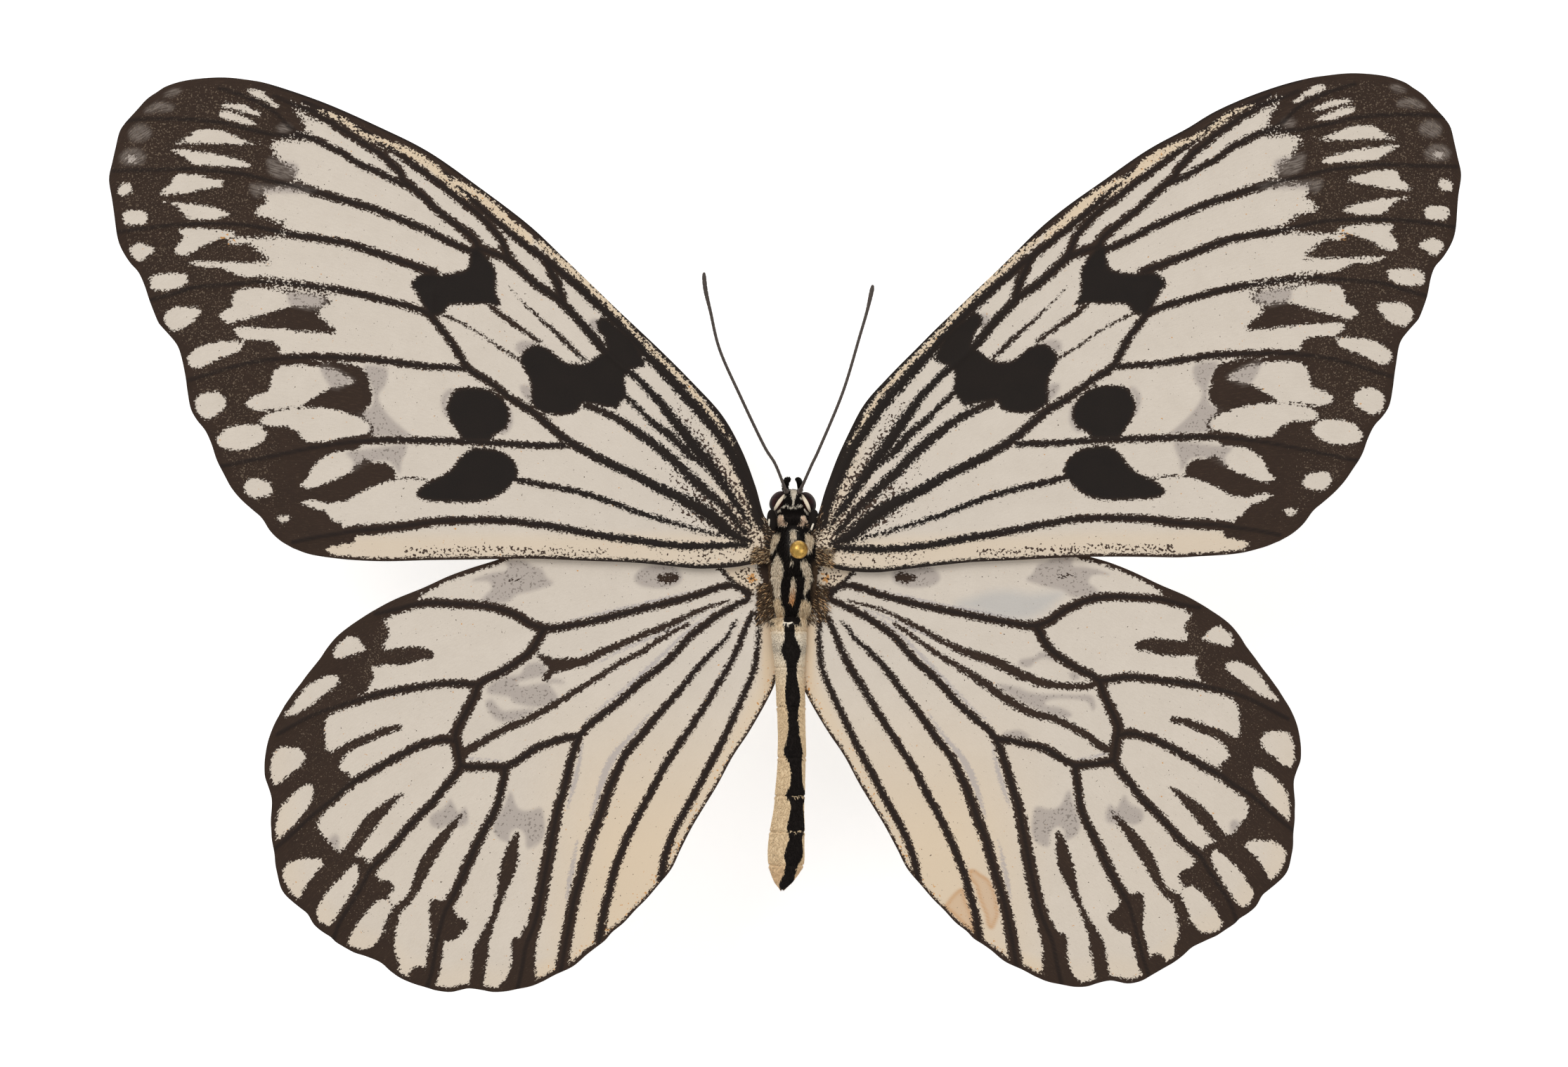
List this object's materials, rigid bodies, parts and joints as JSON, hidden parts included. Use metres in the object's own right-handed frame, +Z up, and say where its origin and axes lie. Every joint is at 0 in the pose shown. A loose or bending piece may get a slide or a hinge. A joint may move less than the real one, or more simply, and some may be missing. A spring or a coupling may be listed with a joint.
{
  "type": "tree nymph butterfly, pinned specimen",
  "caption": "Set tree nymph butterfly with broad cream wings, dark veins and spots, spread flat on a brass pin over a small plain base.",
  "frame": {"origin": "on the flat underside of the base, below the body's midline, a tenth of a millimetre ahead of the pin", "axes": "+X along the wingspan to the insect's right, +Y along the body towards the head, +Z up"},
  "size_m": [0.1296, 0.0884, 0.0406],
  "materials": {
    "body": "black scales and hair with cream marks",
    "abdomen": "buff scales with a black stripe along the back",
    "wings": "papery scaled membrane, cream with brown-black veins and spots",
    "limbs": "dark matt cuticle",
    "eyes": "dark maroon, softly glossy",
    "pin": "satin brass",
    "base": "pale matt paint"
  },
  "bodies": {
    "root": {"head": "body", "eye_left": "eyes", "eye_right": "eyes", "antenna_left": "limbs", "antenna_right": "limbs", "palp_left": "limbs", "palp_right": "limbs", "proboscis": "limbs", "prothorax": "body", "thorax": "body", "abdomen": "abdomen", "forewing_left": "wings", "forewing_right": "wings", "hindwing_left": "wings", "hindwing_right": "wings", "foreleg_left": "limbs", "foreleg_right": "limbs", "midleg_left": "limbs", "midleg_right": "limbs", "hindleg_left": "limbs", "hindleg_right": "limbs", "stand_pin": "pin", "stand_base": "base"}
  },
  "joints": []
}
